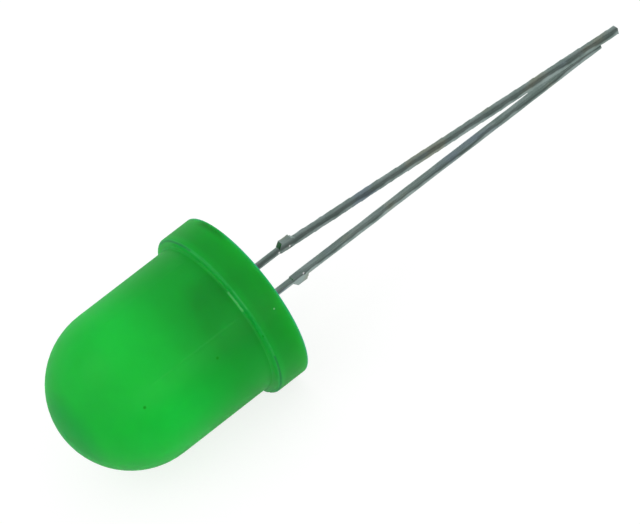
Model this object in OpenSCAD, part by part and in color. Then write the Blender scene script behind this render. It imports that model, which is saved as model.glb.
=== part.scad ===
// Through hole LED with a round dome, lying on the flat of its flange.
// Each piece is drawn standing, dome up, then laid down: the leads run to +X and the dome to -X.
// The origin is the centre of the flange's base face. The long lead is above the short one.

/* [Lens] */
// Diameter of the body and of its dome
body_d = 10; // [9.4:0.1:10.2]
// Height of the dome's centre above the base
dome_at = 8.75; // [7.5:0.05:10]
// Diameter of the flange
flange_d = 11.1; // [10.9:0.1:12]
// Thickness of the flange
flange_t = 2.1; // [1.2:0.1:3]
// How far the flange's flat stands out from the body's wall
flat_out = 0.05; // [0.02:0.01:0.15]
// Edge rounding of the flange
flange_round = 0.18; // [0.05:0.01:0.25]
// Fillet where the body meets the flange
root_fillet = 0.15; // [0.05:0.01:0.2]
// Height of the resin that creeps up each lead at the base
creep_h = 0.22; // [0.1:0.01:0.4]
// Width of that resin around the lead
creep_w = 0.14; // [0.08:0.01:0.3]
// Width of that resin at its thin lower end
creep_lip = 0.02; // [0.01:0.01:0.05]

/* [Leads] */
// Distance between the two leads
pitch = 2.54; // [2.4:0.01:2.8]
// Thickness of the leadframe's sheet
sheet_t = 0.36; // [0.3:0.01:0.5]
// Width of a lead between the base and its tie bar stub
neck_w = 0.32; // [0.28:0.01:0.4]
// Width of a lead past the stub, before its tin coat
leg_w = 0.34; // [0.3:0.01:0.45]
// Thickness of the tin coat past the stub
coat = 0.04; // [0.01:0.01:0.06]
// Length of the long lead, from the base
long_len = 28.2; // [20:0.1:32]
// Length of the short lead, from the base
short_len = 27.2; // [19:0.1:31]

/* [Tie bar stubs] */
// Distance from the base to the stubs
stub_at = 3.05; // [2:0.05:5]
// Length of a stub along its lead
stub_len = 1.05; // [0.6:0.05:1.6]
// How far a stub stands out from its lead
stub_out = 0.25; // [0.15:0.01:0.5]
// Length of a stub's slanted shoulder
stub_slant = 0.2; // [0.1:0.01:0.25]
// Height and length of the burr that the shear left at a stub's lower end
stub_burr = 0.13; // [0.05:0.01:0.15]

/* [Bends at the stubs] */
// How far the neck runs into the tinned leg
neck_lap = 0.12; // [0.08:0.01:0.2]
// How far the long lead's tip is bent towards the short lead's side
long_in = 1.65; // [1:0.01:2.2]
// How far the long lead's tip is bent to the front of the leadframe
long_front = 1; // [0.8:0.01:1.6]
// How far the short lead's tip leans out, away from the long lead
short_out = 0.1; // [0.05:0.01:0.4]

/* [Leadframe inside the lens] */
// Height of the cup's rim above the base
cup_top = 3.85; // [3.7:0.05:4.4]
// Radius of the cup's head
head_r = 0.62; // [0.58:0.01:0.7]
// Height of the cup's head
head_h = 0.6; // [0.5:0.01:0.8]
// Height of the throat below the head, where the sheet was pressed out round
throat_h = 0.5; // [0.3:0.05:0.7]
// How far below the cup's rim the anvil's shoulder lies
shoulder_drop = 0.15; // [0.1:0.05:0.4]
// Width of the shoulder beside the head
shoulder_w = 1.4; // [0.8:0.05:1.5]
// Height of the slant from the shoulder to the anvil's outer edge
shoulder_slant = 0.45; // [0.2:0.05:0.8]
// How far below the head the anvil's inner edge turns back to its lead
lip_drop = 0.9; // [0.7:0.05:1.2]
// Radius of the cup's mouth
cup_mouth_r = 0.5; // [0.42:0.01:0.54]
// Radius of the cup's floor
cup_floor_r = 0.3; // [0.26:0.01:0.36]
// Depth of the cup
cup_depth = 0.34; // [0.28:0.01:0.42]
// Distance from the optical axis to the anvil's outer edge
anvil_out = 2.55; // [2.3:0.01:2.8]
// Distance from the optical axis to the bond post's outer edge
post_out = 1.95; // [1.8:0.01:2.2]
// Height of the leadframe's foot above the base
foot_at = 0.55; // [0.3:0.05:0.9]
// Height of the bond post above the base
post_top = 3.45; // [3.2:0.05:3.8]
// Width of the bond post's top
post_top_w = 0.85; // [0.6:0.01:1]
// Width of the bond post's foot
post_foot_w = 1.3; // [1:0.01:1.4]
// Height of the bond post's foot
post_foot_h = 1.5; // [1:0.05:1.8]

/* [Die and bond] */
// Side of the square die
die_w = 0.28; // [0.2:0.01:0.34]
// Height of the die
die_h = 0.22; // [0.15:0.01:0.25]
// Thickness of the die's cement
cement_t = 0.03; // [0.02:0.005:0.05]
// How far the cement shows around the die
cement_w = 0.04; // [0.02:0.005:0.05]
// Diameter of the bond wire in its loop
wire_d = 0.04; // [0.03:0.005:0.04]
// How much thinner in radius the wire's straight parts are drawn
wire_draw = 0.001; // [0.001:0.0005:0.003]
// Radius of the wire's loop
loop_r = 0.24; // [0.15:0.01:0.35]
// Height that the wire rises from the die before its loop
loop_rise = 0.2; // [0.1:0.01:0.4]
// Radius of the wire's ball and of its stitch
ball_r = 0.05; // [0.04:0.005:0.07]
// Height of the ball and of the stitch
ball_h = 0.04; // [0.04:0.005:0.06]

/* [Hidden] */
$fn = 64;

body_r = body_d / 2;
flange_r = flange_d / 2;
lead_x = pitch / 2;
lead_reach = norm([neck_w, sheet_t]) / 2;
leg_t = sheet_t + 2 * coat;
leg_full_w = leg_w + 2 * coat;
cup_floor = cup_top - cup_depth;
die_top = cup_floor + cement_t + die_h;
neck_root = head_h / 2;

// How far a cutting tool runs past what it cuts
past = 1;

// How far the wire's straight parts run into its loop
wire_lap = wire_d / 5;

// The bond wire leaves its loop on the line that touches the loop and ends on the post
loop_z = die_top + ball_h + loop_rise;
stitch_x = post_top_w / 2 - post_out;
stitch_z = post_top + ball_h / 2;
span = norm([stitch_x + loop_r, stitch_z - loop_z]);
loop_turn = 360 + atan2(stitch_z - loop_z, stitch_x + loop_r) - acos(loop_r / span);
run_len = sqrt(span * span - loop_r * loop_r);

// Lays a standing piece down: its top goes to -X and its +X side goes up
module laid_down() {
    rotate([0, -90, 0]) children();
}

// Turns an outline drawn in X and Y up on edge, as a sheet of the given thickness
module upright_sheet(t) {
    rotate([90, 0, 0]) linear_extrude(height = t, center = true) children();
}

// Half of the lens's section: the dome, the body, the flange and the two roundings
module lens_section() {
    intersection() {
        translate([0, dome_at]) circle(r = body_r);
        translate([0, dome_at]) square([body_r, body_r]);
    }
    square([body_r, dome_at]);
    difference() {
        square([flange_r, flange_t]);
        translate([flange_r - flange_round, flange_t - flange_round])
            edge_cut(flange_round);
    }
    translate([body_r, flange_t]) difference() {
        square(root_fillet);
        translate([root_fillet, root_fillet]) circle(r = root_fillet);
    }
}

// What a rounding of radius r takes off an outward corner
module edge_cut(r) {
    difference() {
        square(r);
        circle(r = r);
    }
}

// The cast resin with its flange's flat, before it is opened for what it holds
module lens_casting() {
    difference() {
        rotate_extrude() lens_section();
        translate([-flange_r - past, -flange_r, -past])
            cube([flange_r - body_r - flat_out + past, flange_d, flange_t + root_fillet + past]);
    }
    for (side = [-1, 1])
        translate([side * lead_x, 0, -creep_h])
            cylinder(r1 = lead_reach + creep_lip, r2 = lead_reach + creep_w, h = creep_h);
}

module lens() {
    color([0.05, 0.62, 0.2])
    difference() {
        laid_down() lens_casting();
        anode_lead();
        cathode_lead();
        die();
        die_cement();
        bond_wire();
    }
}

// A lead on the +X side, from the leadframe's foot to its tip, which is bent in and to the front
module lead(len, in, front) {
    below = len - stub_at;
    angle = asin(norm([in, front]) / below);
    turn = atan2(-front, -in);
    translate([lead_x - neck_w / 2, -sheet_t / 2, -stub_at - neck_lap])
        cube([neck_w, sheet_t, stub_at + neck_lap + foot_at + neck_root]);
    translate([lead_x, 0, -stub_at])
        rotate([0, 0, turn]) rotate([0, -angle, 0]) rotate([0, 0, -turn])
            tinned_leg(below);
}

// The tinned part of a lead below the origin, with the sheared stub of the tie bar on its outer side
module tinned_leg(len) {
    edge = leg_full_w / 2;
    translate([-edge, -leg_t / 2, -len]) cube([leg_full_w, leg_t, len]);
    upright_sheet(leg_t) polygon([
        [0, 0],
        [edge, 0],
        [edge + stub_out, -stub_slant],
        [edge + stub_out, -stub_len + stub_burr],
        [edge + stub_burr, -stub_len + stub_burr],
        [edge + stub_burr, -stub_len],
        [0, -stub_len]
    ]);
}

// The anvil: a sheet that leans over to the optical axis, with a coined round cup on top
module anvil() {
    difference() {
        union() {
            upright_sheet(sheet_t) polygon([
                [lead_x - neck_w / 2, foot_at],
                [lead_x + neck_w / 2, foot_at],
                [anvil_out, foot_at + anvil_out - lead_x],
                [anvil_out, cup_top - shoulder_drop - shoulder_slant],
                [head_r + shoulder_w, cup_top - shoulder_drop],
                [head_r / 2, cup_top - shoulder_drop],
                [-head_r / 2, cup_top - head_h - throat_h / 2],
                [-head_r / 2, cup_top - head_h - lip_drop]
            ]);
            translate([0, 0, cup_top - head_h]) cylinder(r = head_r, h = head_h);
            translate([0, 0, cup_top - head_h - throat_h])
                cylinder(r1 = sheet_t / 2, r2 = head_r, h = throat_h);
        }
        translate([0, 0, cup_floor])
            cylinder(r1 = cup_floor_r, r2 = cup_mouth_r, h = cup_depth);
    }
}

module anode_lead() {
    color([0.66, 0.69, 0.67])
    laid_down() {
        anvil();
        lead(long_len, long_in, long_front);
    }
}

// The bond post: broad at its foot, narrower where the wire is stitched on
module post() {
    upright_sheet(sheet_t) polygon([
        [-lead_x + neck_w / 2, foot_at],
        [-lead_x - neck_w / 2, foot_at],
        [-post_out, foot_at + post_out - lead_x],
        [-post_out, post_top],
        [-post_out + post_top_w, post_top],
        [-post_out + post_foot_w, foot_at + post_foot_h],
        [-post_out + post_foot_w, foot_at + post_out - lead_x]
    ]);
}

module cathode_lead() {
    color([0.66, 0.69, 0.67])
    laid_down() {
        post();
        mirror([1, 0, 0]) lead(short_len, -short_out, 0);
    }
}

module die() {
    color([0.72, 0.6, 0.2])
    laid_down() translate([-die_w / 2, -die_w / 2, cup_floor + cement_t]) cube([die_w, die_w, die_h]);
}

module die_cement() {
    color([0.8, 0.8, 0.78])
    laid_down() translate([0, 0, cup_floor]) cylinder(r = die_w / sqrt(2) + cement_w, h = cement_t);
}

// The bond wire: a ball on the die, a rise, a loop, a straight run and a stitch on the post
module bond_wire() {
    run_r = wire_d / 2 - wire_draw;
    color([0.95, 0.75, 0.25])
    laid_down() {
        translate([0, 0, die_top]) {
            cylinder(r = ball_r, h = ball_h);
            cylinder(r = run_r, h = ball_h + loop_rise + wire_lap);
        }
        translate([-loop_r, 0, loop_z]) {
            rotate([90, 0, 0]) rotate_extrude(angle = loop_turn)
                translate([loop_r, 0]) circle(d = wire_d);
            rotate([0, -loop_turn, 0]) translate([loop_r, 0, -wire_lap])
                cylinder(r = run_r, h = run_len + wire_lap);
        }
        translate([stitch_x, 0, post_top]) cylinder(r = ball_r, h = ball_h);
    }
}

lens();
anode_lead();
cathode_lead();
die();
die_cement();
bond_wire();
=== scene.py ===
import math

import bpy
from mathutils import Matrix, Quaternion, Vector


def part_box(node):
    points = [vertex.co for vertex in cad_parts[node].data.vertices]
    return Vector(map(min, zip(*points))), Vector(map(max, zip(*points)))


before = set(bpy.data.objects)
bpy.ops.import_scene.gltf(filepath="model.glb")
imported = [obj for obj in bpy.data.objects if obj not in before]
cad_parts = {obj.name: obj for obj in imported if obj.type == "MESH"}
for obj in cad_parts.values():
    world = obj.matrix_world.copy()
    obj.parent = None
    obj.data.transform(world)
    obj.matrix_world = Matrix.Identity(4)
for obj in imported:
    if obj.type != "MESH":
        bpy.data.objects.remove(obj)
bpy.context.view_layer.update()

MM = 0.001
WHITE, BLACK = (1, 1, 1, 1), (0, 0, 0, 1)
FRONTWARD, DOMEWARD = (0, -1, 0), (-1, 0, 0)

# The floor is right under the lens, which lies on the flat of its flange
lens_low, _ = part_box("lens")
floor_z = lens_low.z

# Camera: a long lens, looking down on the part from the dome's side, rolled to the left
CAMERA_AZIMUTH = -22.64
CAMERA_ELEVATION = 39.84
CAMERA_ROLL = -22.81
CAMERA_DISTANCE = 400 * MM
CAMERA_TARGET = Vector((5.153, 0, -1.476)) * MM
CLIP_START, CLIP_END = 0.01, 5    # in metres
SENSOR_WIDTH = 36             # in millimetres, as the focal length that comes from it
FRAME_WIDTH = 37.52 * MM      # what the picture's width takes in at the target

# Light
WORLD_LIGHT = 0.8
WALL_MIRRORED, CEILING_MIRRORED = 0.6, 0.24      # how bright the room is in reflections
WALL_TOP, CEILING_START = 0.25, 0.6              # the rise of the ray where one turns into the other
FLOOR_HALF = 1.5              # half of the floor's side, in metres
FLOOR_BOUNCE = 0.85           # the floor's colour for the light that it sends back up
FLOOR_SEEN = 0.25             # its colour for the camera, which sees FLOOR_GLOW with it
FLOOR_GLOW = 0.82
FLOOR_MIRRORED = 0.6          # how bright it is in reflections
# Lamps: name, azimuth and elevation in degrees, distance and size in metres, watts
LAMPS = (
    ("key", -100, 55, 0.9, 0.7, 0.6),
    ("front", 0, 12, 0.9, 0.7, 0.35),
)

# Noise: scale, in waves per millimetre, and number of finer levels. A stretch is a share of that
# scale along X, Y and Z
RESIN_CLOUDS = 0.45, 4.0
RESIN_GRAIN = 9.0, 3.0
SEAM_GAPS = 0.5, 2.0
TIN_CLOUDS, CLOUD_STRETCH = (2.2, 3.0), (0.35, 1, 1)
TIN_PATCHES, PATCH_STRETCH = (1.0, 2.0), (0.35, 0.6, 0.6)
TIN_GRAIN, GRAIN_STRETCH = (14.0, 3.0), (0.5, 1, 1)
COAT_WAVES, WAVE_STRETCH = (1.0, 3.0), (0.45, 0.8, 0.8)
FINE_DETAIL = 3.0
NOISE_MIDDLE = 0.5
# Values of the noise between which what it drives goes all the way
WIDE_RANGE = 0.3, 0.7
CLOUD_RANGE = 0.35, 0.65
GAP_RANGE = 0.4, 0.6

# Relief: strength, and height in metres
RESIN_RELIEF = 0.3, 0.02 * MM
TIN_RELIEF = 0.35, 0.02 * MM
FINE_RELIEF = 0.3, 0.005 * MM
GRAIN_SHARE = 0.12            # the grain's height in the resin, as a share of the seam's

# Resin colours
# The deep colour is painted shade of the leadframe seen through the resin; the bright one is the resin
# clear of it
RESIN_BRIGHT = (0.006, 0.76, 0.07, 1)    # clear of the leadframe
RESIN_LEADFRAME_SHADE = (0.004, 0.52, 0.044, 1)     # around the leadframe
# Painted shade: the top of the dome darker
RESIN_TIP_SHADE = (0.006, 0.63, 0.06, 1)       # at the top of the dome
# Painted highlight: the step paler
RESIN_STEP_HIGHLIGHT = (0.014, 0.6, 0.085, 1)      # on the step between the body and the flange
# Painted pale reflection: paler and bluer below the axis
RESIN_LOW_REFLECTION = (2.0, 1.06, 1.15, 1)         # times the colour, below the axis
# Painted shade: the very top of the dome darker
RESIN_CROWN_SHADE = (0.6, 0.76, 1.1, 1)        # times the colour, at the very top of the dome
MOTTLE = 0.03                            # how far the clouds in the resin change its colour

# Where they are. Heights are distances from the base towards the dome, in millimetres, and angles
# around the axis run from -Y towards +Z, in degrees
LEADFRAME_SHADE_HEIGHT, BRIGHT_HEIGHT, TIP_HEIGHT = 4.0, 8.6, 13.6
STEP_LOW, STEP_HIGH, STEP_FADE = 2.04, 2.24, 0.08
LOW_START, LOW_FULL = 2.2, 0.0           # Z where RESIN_LOW_REFLECTION begins and where it is all there
CROWN_START, CROWN_FULL = 12.7, 13.6     # heights where RESIN_CROWN_SHADE begins and is all there
FLANGE_TOP, FLANGE_FULL = 1.9, 1.5       # heights where the flange's painted shade begins and is all there
FLANGE_SHADE = 0.87                       # how much of the colour it keeps

# How the resin takes light
RESIN_BLUR = 0.42                        # how rough it is for the light that goes through it
RESIN_IOR = 1.5
RESIN_GLOSS = 0.0                        # its gloss comes from its coat alone
RESIN_CLEAR = 0.5                        # the share of it that is clear and not cloudy
RESIN_SCATTER = (3.0, 6.0, 2.0)          # how far light runs in it by colour, in millimetres
COAT, COAT_ROUGHNESS, COAT_IOR = 0.06, 0.1, 1.45

# The mould's seam up the body, raised, with a painted highlight along it: its angle, and heights
# where it begins, is all there, fades and ends
SEAM_ANGLE = 33.3
SEAM_START, SEAM_FULL, SEAM_FADE, SEAM_END = 2.5, 3.2, 8.6, 9.4
SEAM_WIDTH = 0.11                        # how far to each side of its plane it fades out
SEAM_TONE = 0.16                         # how much of SEAM_HIGHLIGHT_COLOR it takes
# Painted highlight along the seam
SEAM_HIGHLIGHT_COLOR = (0.05, 0.85, 0.16, 1)

# Dark specks in the resin, and a painted glint on the flange's edge: height, angle, distance from
# the axis, radius
SPECK_COLOR = (0.0, 0.42, 0.008, 1)
SPECKS = ((10.19, 23.4, 4.79, 0.09), (4.99, 20.4, 5.0, 0.085), (2.09, 15.0, 5.4, 0.07))
FLANGE_GLINTS = ((0.7, 25.3, 5.55, 0.05),)
SPOT_CORE, SPOT_EDGE = 0.5, 1.5          # shares of the radius between which a spot fades

# Painted highlights along the step, and painted shade in it at its two ends: height, distance from
# the axis, first and last angle, how far up and down it fades out, strength
HIGHLIGHT_COLOR = (0.38, 1.0, 0.5, 1)
STEP_HIGHLIGHTS = (
    (2.2, 5.06, 34.0, 52.0, 0.085, 1.0),
    (2.05, 5.5, 34.0, 50.0, 0.06, 0.12),
    (2.09, 5.4, 50.0, 95.0, 0.04, 0.09),
)
STEP_SHADE_COLOR = (0.006, 0.22, 0.08, 1)
STEP_SHADES = (
    (2.02, 5.48, -62.0, 0.0, 0.09, 0.8),
    (2.07, 5.43, 88.0, 140.0, 0.13, 0.8),
)
LINE_DEPTH = 0.12                        # how far in and out of its distance a line shows
LINE_FADE = 2.0                          # how softly it ends, in degrees

# Painted shade on stretches of the flange's rim: height where each ends, its angles, how much colour it
# keeps
PAINTED_RIM_SHADES = ((0.6, 74.0, 114.0, 0.38), (0.9, 24.0, 56.0, 0.8))
RIM_FOOT = 0.1                           # height where they are darkest
RIM_FADE = 14.0                          # how softly they end, in degrees
RIM_START, RIM_FULL = 5.3, 5.5           # distances from the axis where they begin and are all there

# The legs' axes from the stub to the tip, in millimetres
STUB_AT = 3.05
LONG_LEG = (STUB_AT, 0.0, 1.27), (28.2, -1.0, -0.38)
SHORT_LEG = (STUB_AT, 0.0, -1.27), (27.2, 0.0, -1.37)

# Tin colours: pale and dull in clouds, with bluish and brownish patches
TIN_PALE = (0.64, 0.8, 0.76, 1)
TIN_DULL = (0.44, 0.59, 0.54, 1)
TIN_BLUE = (0.48, 0.62, 0.68, 1)
TIN_BROWN = (0.6, 0.68, 0.56, 1)
BLUE_RANGE = 0.56, 0.68                  # values of the patches' noise where it sets in
BROWN_RANGE = 0.44, 0.32
TIN_ROUGHNESS = 0.32, 0.46

# How much of the tin's colour painted shade leaves: on its front, on what faces the dome, and in a dark
# line
TIN_SHOULDER_SHADE = 0.35
TIN_SHADE_LINE = 0.4
FRONT_RANGE = 0.4, 0.8                   # cosines between which a face becomes a front
SHOULDER_RANGE = 0.3, 0.7                # cosines between which a face comes to face the dome
TONE_RANGE = 8.0, 16.0                   # distances from the base where the front's painted shade changes
SHADE_LINE_FULL, SHADE_LINE_FADE, SHADE_LINE_END = 0.09, 0.13, 0.21   # its places across the lead
SHADE_LINE_WANDER = 0.25                     # how far the clouds in the tin shift it

# Painted glints at the stubs, with a painted dark spot beside each: centres, the way from a glint to
# its dark spot, and radii, in millimetres
STUB_GLINTS = ((2.93, -0.18, 1.22), (3.69, -0.22, 1.2), (3.83, -0.22, -1.18))
GLINT_SHADE_OFFSET = (0.06, 0.0, -0.09)
GLINT_RADIUS, GLINT_SHADE_RADIUS = 0.06, 0.05

# The tin coat's form
COAT_FADE = 0.4               # over how many millimetres the waves set in past the stub
COAT_REACH = 0.035 * MM       # how far the waves go in and out
VOXEL = 0.045 * MM            # what rounds the leads' edges

# The parts inside the lens
DIE_DARK, DIE_PALE = (0.3, 0.2, 0.05, 1), (0.45, 0.34, 0.1, 1)
CEMENT_DARK, CEMENT_PALE = (0.5, 0.5, 0.48, 1), (0.78, 0.78, 0.75, 1)
GOLD_DARK, GOLD_PALE = (0.8, 0.52, 0.16, 1), (0.95, 0.7, 0.26, 1)


def toward(azimuth, elevation):
    """The direction from the object to a viewer at that azimuth and elevation, in degrees."""
    a, e = math.radians(azimuth), math.radians(elevation)
    return Vector((math.sin(a) * math.cos(e), -math.cos(a) * math.cos(e), math.sin(e)))


def aim(obj, direction, roll=0.0):
    """Turns obj so that its +Z axis points along direction, then rolls it about that axis."""
    obj.rotation_mode = "QUATERNION"
    turn = direction.to_track_quat("Z", "Y")
    obj.rotation_quaternion = turn @ Quaternion((0, 0, 1), math.radians(roll))


def add_camera():
    data = bpy.data.cameras.new("camera")
    data.sensor_width = SENSOR_WIDTH
    data.lens = SENSOR_WIDTH * CAMERA_DISTANCE / FRAME_WIDTH
    data.clip_start, data.clip_end = CLIP_START, CLIP_END
    camera = bpy.data.objects.new("camera", data)
    bpy.context.collection.objects.link(camera)
    back = toward(CAMERA_AZIMUTH, CAMERA_ELEVATION)
    camera.location = CAMERA_TARGET + back * CAMERA_DISTANCE
    aim(camera, back, CAMERA_ROLL)
    bpy.context.scene.camera = camera


class Shader:
    """Adds nodes to one node tree and links them."""

    def __init__(self, tree):
        self.tree = tree
        self.tree.nodes.clear()

    def node(self, kind, links=None, **settings):
        """Adds a node. settings are its properties, and links gives values or sockets by input."""
        made = self.tree.nodes.new(kind)
        for name, value in settings.items():
            setattr(made, name, value)
        for name, value in (links or {}).items():
            self.set(made.inputs[name], value)
        return made

    def set(self, socket, value):
        """Links a socket to the input, or sets its own value."""
        if isinstance(value, bpy.types.NodeSocket):
            self.tree.links.new(value, socket)
        else:
            socket.default_value = value

    def math(self, operation, *values):
        links = dict(enumerate(values))
        return self.node("ShaderNodeMath", links, operation=operation).outputs[0]

    def times(self, *values):
        """The product of two or more values."""
        total = values[0]
        for value in values[1:]:
            total = self.math("MULTIPLY", total, value)
        return total

    def vector_math(self, operation, *values):
        links = dict(enumerate(values))
        return self.node("ShaderNodeVectorMath", links, operation=operation).outputs

    def mix(self, factor, a, b, blend="MIX"):
        """Colour a where factor is 0, and b, or a blended with b, where it is 1. The node's colours
        are its inputs 6 and 7 and its output 2."""
        links = {0: factor, 6: a, 7: b}
        return self.node("ShaderNodeMix", links, data_type="RGBA", blend_type=blend).outputs[2]

    def tint(self, color, by):
        """The product of two colours, so that white changes nothing."""
        return self.mix(1.0, color, by, blend="MULTIPLY")

    def ramp(self, value, low, high, start=0.0, end=1.0, smooth=True):
        """start below low, end above high, and a smooth step between them."""
        kind = "SMOOTHSTEP" if smooth else "LINEAR"
        links = dict(enumerate((value, low, high, start, end)))
        return self.node("ShaderNodeMapRange", links, interpolation_type=kind).outputs[0]

    def choose(self, factor, low, high):
        """The number low where factor is 0, and high where it is 1."""
        return self.node("ShaderNodeMix", {0: factor, 2: low, 3: high}, data_type="FLOAT").outputs[0]

    def noise(self, place, scale, detail):
        links = {"Vector": place, "Scale": scale, "Detail": detail}
        return self.node("ShaderNodeTexNoise", links).outputs["Fac"]

    def place(self, by=(1, 1, 1)):
        """Object coordinates in millimetres, stretched."""
        coord = self.node("ShaderNodeTexCoord").outputs["Object"]
        return self.vector_math("MULTIPLY", coord, [number / MM for number in by])[0]

    def grey(self, value):
        return self.node("ShaderNodeCombineColor", {0: value, 1: value, 2: value}).outputs[0]

    def split(self, vector):
        return self.node("ShaderNodeSeparateXYZ", {0: vector}).outputs

    def bump(self, height, strength, distance):
        links = {"Height": height, "Strength": strength, "Distance": distance}
        return self.node("ShaderNodeBump", links).outputs[0]

    def output(self, surface):
        self.tree.links.new(surface, self.node("ShaderNodeOutputMaterial").inputs["Surface"])


def new_material(name):
    material = bpy.data.materials.new(name)
    material.use_nodes = True
    return material, Shader(material.node_tree)


def add_world():
    """A white room for the camera, and a dimmer one for light and for reflections."""
    world = bpy.data.worlds.new("studio")
    bpy.context.scene.world = world
    world.use_nodes = True
    shader = Shader(world.node_tree)
    path = shader.node("ShaderNodeLightPath").outputs
    up = shader.split(shader.node("ShaderNodeTexCoord").outputs["Generated"])["Z"]
    mirrored = shader.ramp(up, WALL_TOP, CEILING_START, WALL_MIRRORED, CEILING_MIRRORED)
    direct = shader.math("MAXIMUM", path["Is Camera Ray"], path["Is Transmission Ray"])
    strength = shader.choose(path["Is Glossy Ray"], WORLD_LIGHT, mirrored)
    strength = shader.choose(direct, strength, 1.0)
    light = shader.node("ShaderNodeBackground", {"Color": WHITE, "Strength": strength})
    out = shader.node("ShaderNodeOutputWorld")
    shader.tree.links.new(light.outputs[0], out.inputs["Surface"])


def add_lamp(name, azimuth, elevation, distance, size, watts):
    data = bpy.data.lights.new(name, "AREA")
    data.shape = "DISK"
    data.size = size
    data.energy = watts
    lamp = bpy.data.objects.new(name, data)
    bpy.context.collection.objects.link(lamp)
    direction = toward(azimuth, elevation)
    lamp.location = direction * distance
    aim(lamp, direction)


def add_floor():
    """A floor that is white for the camera apart from the object's shadow."""
    low, high = -FLOOR_HALF, FLOOR_HALF
    corners = [(low, low, floor_z), (high, low, floor_z), (high, high, floor_z), (low, high, floor_z)]
    mesh = bpy.data.meshes.new("floor")
    mesh.from_pydata(corners, [], [(0, 1, 2, 3)])
    floor = bpy.data.objects.new("floor", mesh)
    bpy.context.collection.objects.link(floor)
    material, shader = new_material("white_floor")
    path = shader.node("ShaderNodeLightPath").outputs
    seen = shader.math("MAXIMUM", path["Is Camera Ray"], path["Is Transmission Ray"])
    grey = shader.choose(path["Is Glossy Ray"], shader.choose(seen, FLOOR_BOUNCE, FLOOR_SEEN), 0.0)
    paper = shader.node("ShaderNodeBsdfDiffuse", {"Color": shader.grey(grey)})
    lift = shader.choose(path["Is Glossy Ray"], shader.times(seen, FLOOR_GLOW), FLOOR_MIRRORED)
    glow = shader.node("ShaderNodeEmission", {"Color": WHITE, "Strength": lift})
    both = shader.node("ShaderNodeAddShader", {0: paper.outputs[0], 1: glow.outputs[0]})
    shader.output(both.outputs[0])
    mesh.materials.append(material)


def spots(shader, place, balls):
    """1 inside any of the balls, given as a centre and a radius in millimetres, with soft edges."""
    total = 0.0
    for centre, radius in balls:
        away = shader.vector_math("DISTANCE", place, centre)["Value"]
        ball = shader.ramp(away, radius * SPOT_CORE, radius * SPOT_EDGE, 1.0, 0.0)
        total = shader.math("MAXIMUM", total, ball)
    return total


def band(shader, value, centre, half_width):
    """1 where value is at centre, and 0 beyond half_width from it."""
    off = shader.math("ABSOLUTE", shader.math("SUBTRACT", value, centre))
    return shader.ramp(off, 0.0, half_width, 1.0, 0.0)


class Round:
    """Where a point of the lens lies: height above the base, distance from the axis, and angle."""

    def __init__(self, shader):
        self.place = shader.place()
        axes = shader.split(self.place)
        self.y, self.z = axes["Y"], axes["Z"]
        self.height = shader.times(axes["X"], -1.0)
        squares = [shader.math("POWER", axis, 2.0) for axis in (self.y, self.z)]
        self.off_axis = shader.math("SQRT", shader.math("ADD", *squares))
        front = shader.times(self.y, -1.0)
        self.angle = shader.math("DEGREES", shader.math("ARCTAN2", self.z, front))


def on_lens(height, angle, radius):
    """A point in object space, in millimetres, from its height and its place around the axis."""
    a = math.radians(angle)
    return (-height, -radius * math.cos(a), radius * math.sin(a))


def sector(shader, at, start, end, fade):
    """1 between two angles around the axis, with soft ends."""
    off_middle = shader.math("ABSOLUTE", shader.math("SUBTRACT", at.angle, (start + end) / 2))
    half = (end - start) / 2
    return shader.ramp(off_middle, half - fade, half, 1.0, 0.0)


def rim_painted_shade(shader, at):
    """How much colour the flange's rim keeps under its painted shade."""
    tone = 1.0
    outside = shader.ramp(at.off_axis, RIM_START, RIM_FULL)
    for height, start, end, kept in PAINTED_RIM_SHADES:
        low = shader.ramp(at.height, height, RIM_FOOT)
        shade = shader.times(low, sector(shader, at, start, end, RIM_FADE), outside)
        tone = shader.times(tone, shader.choose(shade, 1.0, kept))
    return tone


def resin_color(shader, at):
    """The resin's colour without its marks: painted shade round the leadframe and bright past it,
    painted shade at the tip, the crown, the flange and its rim, a painted highlight on the step, a
    painted pale reflection on the low side, and clouds of tone."""
    # Painted shade round the leadframe, and at the top of the dome
    color = shader.mix(shader.ramp(at.height, LEADFRAME_SHADE_HEIGHT, BRIGHT_HEIGHT), RESIN_LEADFRAME_SHADE, RESIN_BRIGHT)
    color = shader.mix(shader.ramp(at.height, BRIGHT_HEIGHT, TIP_HEIGHT), color, RESIN_TIP_SHADE)
    # Painted highlight on the step
    step = shader.times(shader.ramp(at.height, STEP_LOW - STEP_FADE, STEP_LOW),
                        shader.ramp(at.height, STEP_HIGH + STEP_FADE, STEP_HIGH))
    color = shader.mix(step, color, RESIN_STEP_HIGHLIGHT)
    # Painted pale reflection below the axis
    low = shader.ramp(at.z, LOW_START, LOW_FULL)
    color = shader.tint(color, shader.mix(low, WHITE, RESIN_LOW_REFLECTION))
    # Painted shade at the crown
    crown = shader.ramp(at.height, CROWN_START, CROWN_FULL)
    color = shader.tint(color, shader.mix(crown, WHITE, RESIN_CROWN_SHADE))
    clouds = shader.noise(at.place, *RESIN_CLOUDS)
    mottle = shader.ramp(clouds, *WIDE_RANGE, 1.0 - MOTTLE, 1.0 + MOTTLE)
    # Painted shade on the flange and its rim, times the clouds of tone
    flange = shader.ramp(at.height, FLANGE_TOP, FLANGE_FULL, 1.0, FLANGE_SHADE)
    tone = shader.times(mottle, flange, rim_painted_shade(shader, at))
    return shader.tint(color, shader.grey(tone))


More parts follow.
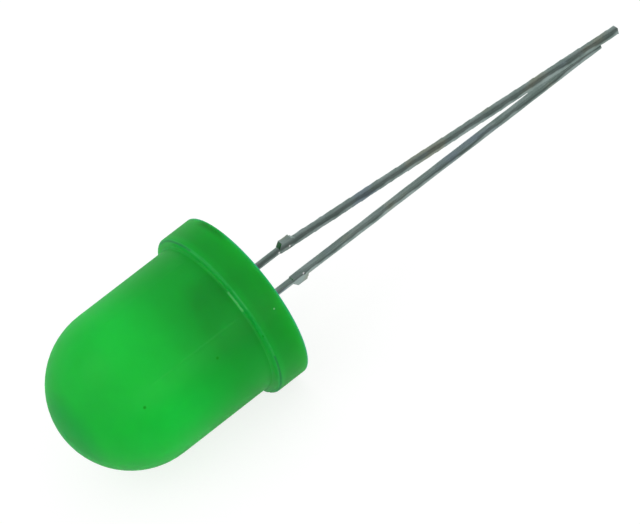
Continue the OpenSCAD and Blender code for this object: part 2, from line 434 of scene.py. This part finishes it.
def seam_and_highlight_mask(shader, at):
    """1 along the mould's seam and its painted highlight, on the plane of the axis and SEAM_ANGLE, with
    gaps.
    """
    up, front = math.sin(math.radians(SEAM_ANGLE)), math.cos(math.radians(SEAM_ANGLE))
    off_plane = shader.math("ADD", shader.times(at.y, up), shader.times(at.z, front))
    start = shader.ramp(at.height, SEAM_START, SEAM_FULL)
    end = shader.ramp(at.height, SEAM_END, SEAM_FADE)
    gaps = shader.ramp(shader.noise(at.place, *SEAM_GAPS), *GAP_RANGE)
    return shader.times(band(shader, off_plane, 0.0, SEAM_WIDTH), start, end, gaps)


def line_mask(shader, at, lines):
    """The strength of the line round the axis that a point lies on, and 0 away from all lines."""
    total = 0.0
    for height, radius, start, end, width, strength in lines:
        line = shader.times(band(shader, at.height, height, width),
                            band(shader, at.off_axis, radius, LINE_DEPTH),
                            sector(shader, at, start, end, LINE_FADE), strength)
        total = shader.math("MAXIMUM", total, line)
    return total


def resin_material():
    """Green diffused resin: cloudy, half clear, with a thin gloss, a mould seam and dark specks, and
    painted highlights, glints and shade.
    """
    material, shader = new_material("green_diffused_resin")
    at = Round(shader)
    seam_and_highlight = seam_and_highlight_mask(shader, at)
    color = resin_color(shader, at)
    # Painted highlight along the seam
    color = shader.mix(shader.times(seam_and_highlight, SEAM_TONE), color, SEAM_HIGHLIGHT_COLOR)
    # Painted shade in the step at its ends, and painted highlights along it
    color = shader.mix(line_mask(shader, at, STEP_SHADES), color, STEP_SHADE_COLOR)
    color = shader.mix(line_mask(shader, at, STEP_HIGHLIGHTS), color, HIGHLIGHT_COLOR)
    # A painted glint on the flange's edge, and dark specks
    for marks, mark_color in ((FLANGE_GLINTS, HIGHLIGHT_COLOR), (SPECKS, SPECK_COLOR)):
        balls = [(on_lens(height, angle, off_axis), radius) for height, angle, off_axis, radius in marks]
        color = shader.mix(spots(shader, at.place, balls), color, mark_color)

    grain = shader.noise(at.place, *RESIN_GRAIN)
    relief = shader.math("ADD", shader.times(grain, GRAIN_SHARE), seam_and_highlight)
    bsdf = shader.node("ShaderNodeBsdfPrincipled", {
        "Base Color": color,
        "Normal": shader.bump(relief, *RESIN_RELIEF),
        "Roughness": RESIN_BLUR,
        "IOR": RESIN_IOR,
        "Specular IOR Level": RESIN_GLOSS,
        "Transmission Weight": RESIN_CLEAR,
        "Subsurface Weight": 1.0,
        "Subsurface Radius": RESIN_SCATTER,
        "Subsurface Scale": MM,
        "Coat Weight": COAT,
        "Coat Roughness": COAT_ROUGHNESS,
        "Coat IOR": COAT_IOR,
    })
    shader.output(bsdf.outputs[0])
    return material


def facing(shader, direction):
    """The cosine of the angle between the surface's normal and a unit vector in the world."""
    normal = shader.node("ShaderNodeNewGeometry").outputs["Normal"]
    return shader.vector_math("DOT_PRODUCT", normal, direction)["Value"]


def across_leg(shader, place, leg):
    """How far a point lies from the leg's axis in the direction midway between -Y and -Z."""
    diagonal = -math.sqrt(0.5)
    (start, *from_axis), (end, *to_axis) = leg
    axes = shader.split(place)
    total = 0.0
    for name, begin, finish in zip("YZ", from_axis, to_axis):
        axis = shader.ramp(axes["X"], start, end, begin, finish, smooth=False)
        total = shader.math("ADD", total, shader.math("SUBTRACT", axes[name], axis))
    return shader.times(total, diagonal)


def tin_color(shader, clouds):
    """Pale and dull clouds, with bluish and brownish patches."""
    patches = shader.noise(shader.place(PATCH_STRETCH), *TIN_PATCHES)
    color = shader.mix(shader.ramp(clouds, *CLOUD_RANGE), TIN_DULL, TIN_PALE)
    color = shader.mix(shader.ramp(patches, *BLUE_RANGE), color, TIN_BLUE)
    return shader.mix(shader.ramp(patches, *BROWN_RANGE), color, TIN_BROWN)


def tin_shade(shader, place, clouds, leg, front_shades, shade_line_start):
    """How much of the tin's colour painted shade leaves: on the front, on the shoulders and in the dark
    line.
    """
    # Painted shade: darker front, darker faces towards the dome, and a dark line along the edge
    tone = shader.ramp(shader.split(place)["X"], *TONE_RANGE, *front_shades)
    front = shader.ramp(facing(shader, FRONTWARD), *FRONT_RANGE)
    shoulder = shader.ramp(facing(shader, DOMEWARD), *SHOULDER_RANGE, 1.0, TIN_SHOULDER_SHADE)
    wander = shader.times(shader.math("SUBTRACT", clouds, NOISE_MIDDLE), SHADE_LINE_WANDER)
    across = shader.math("ADD", across_leg(shader, place, leg), wander)
    shade_line = shader.times(shader.ramp(across, shade_line_start, SHADE_LINE_FULL),
                          shader.ramp(across, SHADE_LINE_END, SHADE_LINE_FADE))
    return shader.times(shader.choose(front, 1.0, tone), shoulder,
                        shader.choose(shade_line, 1.0, TIN_SHADE_LINE))


def tin_material(name, leg, front_shades, shade_line_start):
    """Dull tin on a lead, with painted glints. front_shades are how much colour painted shade leaves on
    its front near the base and at the tip. A painted dark line, which starts at shade_line_start,
    follows the edge between its top and front."""
    material, shader = new_material(name)
    place = shader.place()
    clouds = shader.noise(shader.place(CLOUD_STRETCH), *TIN_CLOUDS)
    shade = tin_shade(shader, place, clouds, leg, front_shades, shade_line_start)
    color = shader.tint(tin_color(shader, clouds), shader.grey(shade))
    # Painted glints at the stubs, each with a painted dark spot beside it
    glints = [(centre, GLINT_RADIUS) for centre in STUB_GLINTS]
    glint_shades = [(tuple(a + b for a, b in zip(centre, GLINT_SHADE_OFFSET)), GLINT_SHADE_RADIUS) for centre in STUB_GLINTS]
    color = shader.mix(spots(shader, place, glint_shades), color, BLACK)
    color = shader.mix(spots(shader, place, glints), color, WHITE)

    grain = shader.noise(shader.place(GRAIN_STRETCH), *TIN_GRAIN)
    bsdf = shader.node("ShaderNodeBsdfPrincipled", {
        "Base Color": color,
        "Normal": shader.bump(grain, *TIN_RELIEF),
        "Metallic": 1.0,
        "Roughness": shader.ramp(grain, *WIDE_RANGE, *TIN_ROUGHNESS),
    })
    shader.output(bsdf.outputs[0])
    return material


def dipped_coat():
    """Geometry nodes that give the tinned part of a lead the uneven surface of a dipped coat."""
    group = bpy.data.node_groups.new("dipped_coat", "GeometryNodeTree")
    group.interface.new_socket("Geometry", in_out="INPUT", socket_type="NodeSocketGeometry")
    group.interface.new_socket("Geometry", in_out="OUTPUT", socket_type="NodeSocketGeometry")
    nodes = Shader(group)
    place = nodes.node("GeometryNodeInputPosition").outputs[0]
    place = nodes.vector_math("MULTIPLY", place, (1 / MM, 1 / MM, 1 / MM))[0]
    waves = nodes.noise(nodes.vector_math("MULTIPLY", place, WAVE_STRETCH)[0], *COAT_WAVES)
    tinned = nodes.ramp(nodes.split(place)["X"], STUB_AT, STUB_AT + COAT_FADE, 0.0, 2 * COAT_REACH)
    reach = nodes.times(nodes.math("SUBTRACT", waves, NOISE_MIDDLE), tinned)
    normal = nodes.node("GeometryNodeInputNormal").outputs[0]
    offset = nodes.node("ShaderNodeVectorMath", {0: normal, "Scale": reach}, operation="SCALE")
    begin, end = nodes.node("NodeGroupInput"), nodes.node("NodeGroupOutput")
    links = {"Geometry": begin.outputs[0], "Offset": offset.outputs[0]}
    moved = nodes.node("GeometryNodeSetPosition", links)
    group.links.new(moved.outputs[0], end.inputs[0])
    return group


def coat_lead(lead, group):
    """Rounds a lead's edges, and then moves its surface by the dipped coat's waves."""
    remesh = lead.modifiers.new("rounded_edges", "REMESH")
    remesh.mode = "VOXEL"
    remesh.voxel_size = VOXEL
    remesh.use_smooth_shade = True
    lead.modifiers.new("dipped_coat", "NODES").node_group = group


def fine_material(name, dark, pale, scale, roughness, metallic):
    """A small part's material: two tones in fine clouds of that scale, and a matching relief."""
    material, shader = new_material(name)
    clouds = shader.noise(shader.place(), scale, FINE_DETAIL)
    bsdf = shader.node("ShaderNodeBsdfPrincipled", {
        "Base Color": shader.mix(shader.ramp(clouds, *CLOUD_RANGE), dark, pale),
        "Normal": shader.bump(clouds, *FINE_RELIEF),
        "Metallic": metallic,
        "Roughness": roughness,
    })
    shader.output(bsdf.outputs[0])
    return material


def dress(node, material):
    """Gives a CAD node that material alone."""
    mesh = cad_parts[node].data
    mesh.materials.clear()
    mesh.materials.append(material)


add_camera()
add_world()
for lamp in LAMPS:
    add_lamp(*lamp)
add_floor()

dress("lens", resin_material())
dress("anode_lead", tin_material("long_lead_tin", LONG_LEG,
                                 front_shades=(0.6, 0.7), shade_line_start=-0.2))
dress("cathode_lead", tin_material("short_lead_tin", SHORT_LEG,
                                   front_shades=(0.8, 0.7), shade_line_start=-0.06))
tin_waves = dipped_coat()
coat_lead(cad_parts["anode_lead"], tin_waves)
coat_lead(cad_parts["cathode_lead"], tin_waves)
dress("die", fine_material("die_chip", DIE_DARK, DIE_PALE, scale=12.0, roughness=0.3, metallic=0.0))
dress("die_cement", fine_material("silver_cement", CEMENT_DARK, CEMENT_PALE,
                                  scale=30.0, roughness=0.5, metallic=0.6))
dress("bond_wire", fine_material("gold_wire", GOLD_DARK, GOLD_PALE,
                                 scale=20.0, roughness=0.25, metallic=1.0))

bpy.context.scene.view_settings.view_transform = "Standard"
